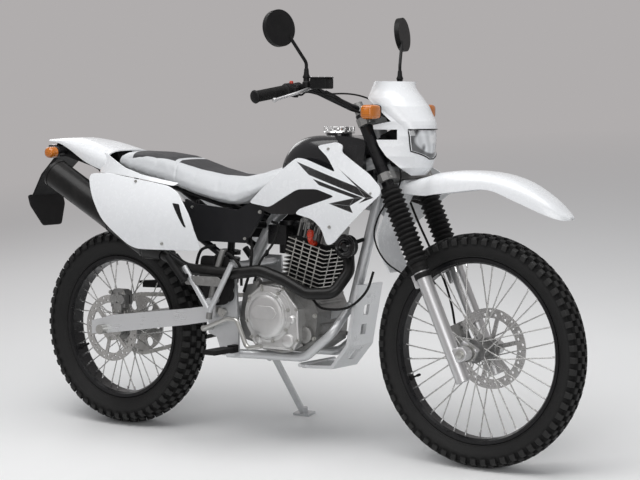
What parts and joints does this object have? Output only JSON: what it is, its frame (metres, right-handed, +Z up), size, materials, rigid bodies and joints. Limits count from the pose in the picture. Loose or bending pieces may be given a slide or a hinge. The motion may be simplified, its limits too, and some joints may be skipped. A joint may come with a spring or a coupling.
{
  "type": "dual sport motorcycle",
  "caption": "Single-cylinder dual sport motorcycle with wire wheels, long fork with gaiters, high muffler and stepped seat, leaning on its side stand.",
  "frame": {"origin": "on the floor, at the middle of the parked machine's box", "axes": "+X forward, +Y to the rider's left, +Z up from the floor"},
  "size_m": [2.087, 0.8081, 1.3741],
  "materials": {
    "frame_paint": "satin silver-grey paint",
    "black_paint": "satin black",
    "aluminium": "cast and blasted",
    "steel": "zinc plated",
    "black_iron": "black with bright fin edges",
    "chrome": "bright",
    "black_plastic": "fine grain",
    "white_plastic": "gloss white",
    "seat_cover": "light grey vinyl with black inserts",
    "red_lens": "clear red",
    "amber_lens": "amber",
    "clear_lens": "clear",
    "rubber": "matt",
    "tyre": "matt"
  },
  "bodies": {
    "frame": {"main_frame": "frame_paint", "seat_rails": "black_paint", "skid_plate": "aluminium", "swing_arm": "aluminium", "pivot_bolt": "steel", "rear_axle": "steel", "rear_shock": "black_paint", "rear_caliper": "aluminium", "chain": "steel", "chain_guard": "black_plastic", "engine_cases": "aluminium", "engine_covers": "aluminium", "cylinder": "black_iron", "cylinder_head": "aluminium", "carburettor": "black_paint", "horn": "black_plastic", "exhaust_pipe": "black_paint", "muffler": "black_paint", "fuel_tank": "black_paint", "tank_cap": "chrome", "shrouds": "white_plastic", "side_panels": "white_plastic", "seat": "seat_cover", "rear_fender": "white_plastic", "rear_inner_fender": "black_plastic", "tail_lamp": "red_lens", "airbox": "black_plastic", "plate_bracket": "black_plastic", "rear_signals": "amber_lens", "pegs": "rubber", "passenger_brackets": "frame_paint", "foot_controls": "steel"},
    "steering": {"triple_clamps": "aluminium", "fork_sliders": "aluminium", "fork_stanchions": "chrome", "fork_gaiters": "rubber", "front_axle": "steel", "handlebar": "black_paint", "grips": "rubber", "bar_controls": "black_plastic", "mirrors": "black_plastic", "front_fender": "white_plastic", "headlight_mask": "white_plastic", "headlight_lens": "clear_lens", "headlight_housing": "black_plastic", "steering_cables": "rubber", "instrument": "black_plastic", "front_signals": "amber_lens", "front_caliper": "aluminium"},
    "front_wheel": {"front_tyre": "tyre", "front_rim": "black_paint", "front_hub": "steel", "front_brake_disc": "steel"},
    "rear_wheel": {"rear_tyre": "tyre", "rear_rim": "black_paint", "rear_hub": "steel", "rear_brake_disc": "steel", "rear_sprocket": "steel"},
    "side_stand": {"side_stand": "frame_paint"}
  },
  "joints": [
    {"name": "steering", "type": "hinge", "parent": "frame", "child": "steering", "pos_m": [0.37315, -0.03426, 0.88881], "axis": [-0.4226, 0.1418, 0.8951], "range_deg": [-42, 42]},
    {"name": "front_wheel", "type": "hinge", "parent": "steering", "child": "front_wheel", "pos_m": [0.698, -0.12103, 0.34096], "axis": [0, 0.9877, -0.1564], "continuous": true},
    {"name": "rear_wheel", "type": "hinge", "parent": "frame", "child": "rear_wheel", "pos_m": [-0.672, -0.12431, 0.32022], "axis": [0, 0.9877, -0.1564], "continuous": true},
    {"name": "side_stand", "type": "hinge", "parent": "frame", "child": "side_stand", "pos_m": [-0.165, -0.00031, 0.23376], "axis": [0.1589, 0.9117, 0.379], "range_deg": [0, 101.6]}
  ]
}
